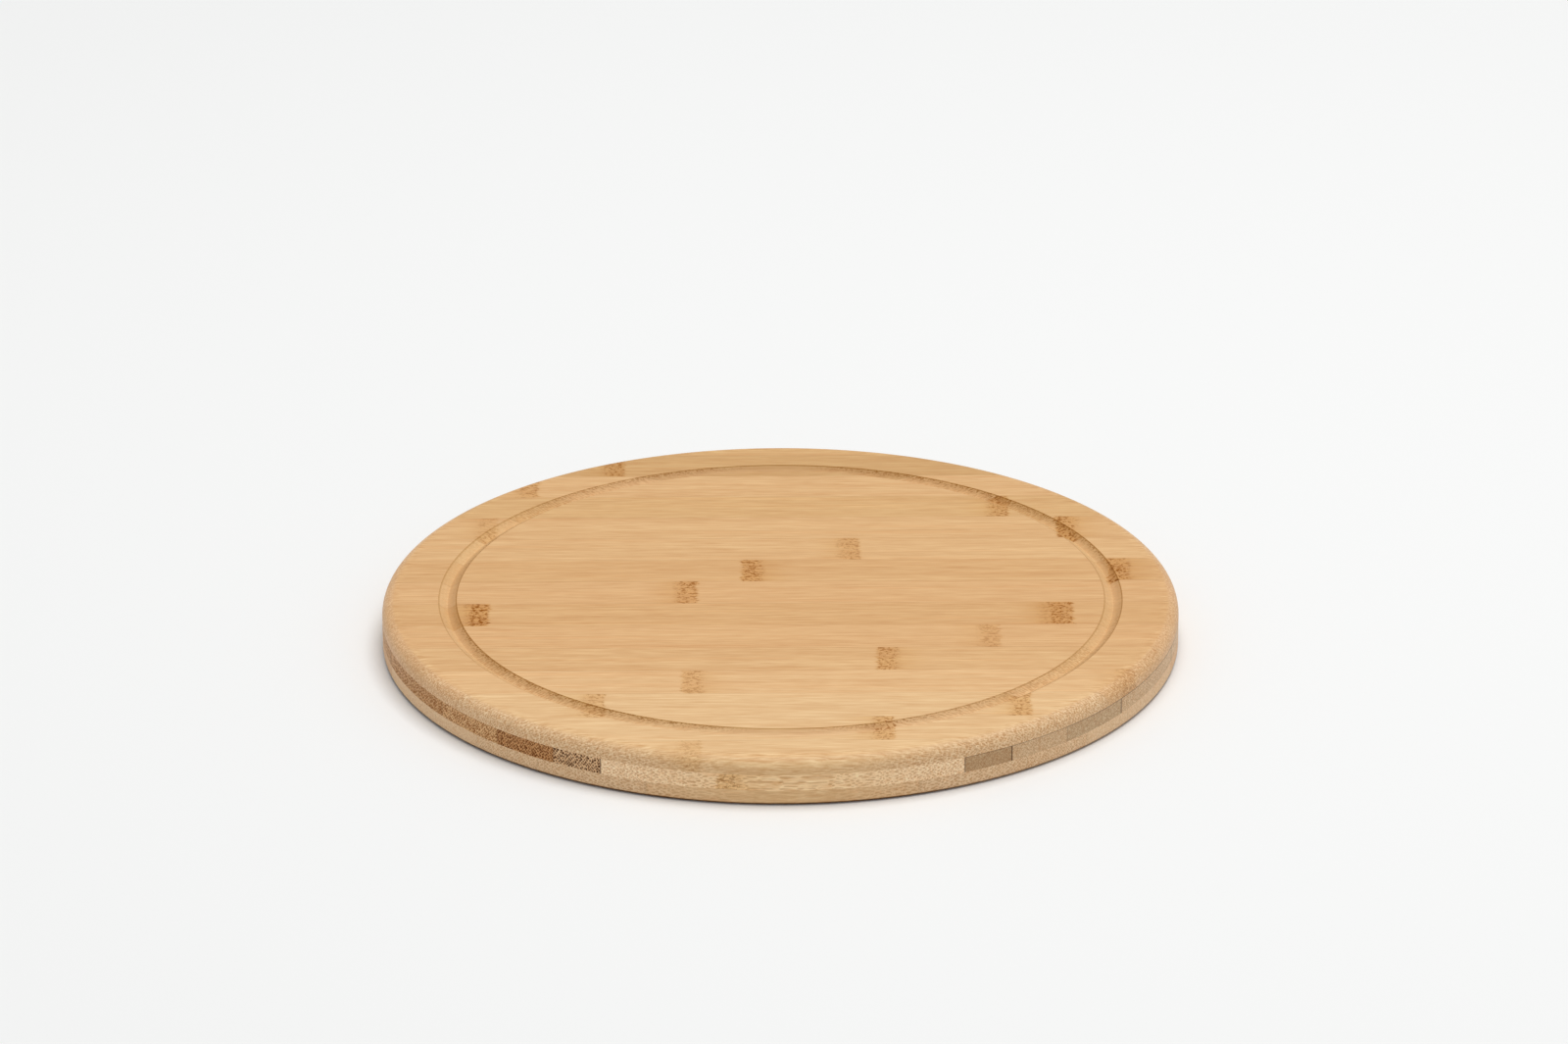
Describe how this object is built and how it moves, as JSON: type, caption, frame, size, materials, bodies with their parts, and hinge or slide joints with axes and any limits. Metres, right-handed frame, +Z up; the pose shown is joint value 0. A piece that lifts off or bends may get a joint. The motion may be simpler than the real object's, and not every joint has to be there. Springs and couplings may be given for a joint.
{
  "type": "steak board",
  "caption": "Round laminated bamboo board with a rounded rim and a juice groove, for carving and serving steak.",
  "frame": {"origin": "centre of the underside, on the surface that the board rests on", "axes": "+Z up out of the serving face, X along the slats of both faces, -Y towards the front"},
  "size_m": [0.3, 0.3, 0.018],
  "materials": {
    "face_bamboo": "sanded and oiled, satin",
    "core_bamboo": "sanded and oiled, satin",
    "strip_bamboo": "sanded and oiled, satin"
  },
  "bodies": {
    "root": {"top_slat_01": "face_bamboo", "top_slat_02": "face_bamboo", "top_slat_03": "face_bamboo", "top_slat_04": "face_bamboo", "top_slat_05": "face_bamboo", "top_slat_06": "face_bamboo", "top_slat_07": "face_bamboo", "top_slat_08": "face_bamboo", "top_slat_09": "face_bamboo", "top_slat_10": "face_bamboo", "top_slat_11": "face_bamboo", "top_slat_12": "face_bamboo", "top_slat_13": "face_bamboo", "top_slat_14": "face_bamboo", "top_slat_15": "face_bamboo", "core_slat_01": "core_bamboo", "core_slat_02": "core_bamboo", "core_slat_03": "core_bamboo", "core_slat_04": "core_bamboo", "core_slat_05": "core_bamboo", "core_slat_06": "core_bamboo", "core_slat_07": "core_bamboo", "core_slat_08": "core_bamboo", "core_slat_09": "core_bamboo", "core_slat_10": "core_bamboo", "core_slat_11": "core_bamboo", "core_slat_12": "core_bamboo", "core_slat_13": "core_bamboo", "core_slat_14": "core_bamboo", "core_slat_15": "core_bamboo", "core_slat_16": "core_bamboo", "core_front_strip": "strip_bamboo", "core_back_strip": "strip_bamboo", "bottom_slat_01": "face_bamboo", "bottom_slat_02": "face_bamboo", "bottom_slat_03": "face_bamboo", "bottom_slat_04": "face_bamboo", "bottom_slat_05": "face_bamboo", "bottom_slat_06": "face_bamboo", "bottom_slat_07": "face_bamboo", "bottom_slat_08": "face_bamboo", "bottom_slat_09": "face_bamboo", "bottom_slat_10": "face_bamboo", "bottom_slat_11": "face_bamboo", "bottom_slat_12": "face_bamboo", "bottom_slat_13": "face_bamboo", "bottom_slat_14": "face_bamboo", "bottom_slat_15": "face_bamboo"}
  },
  "joints": []
}
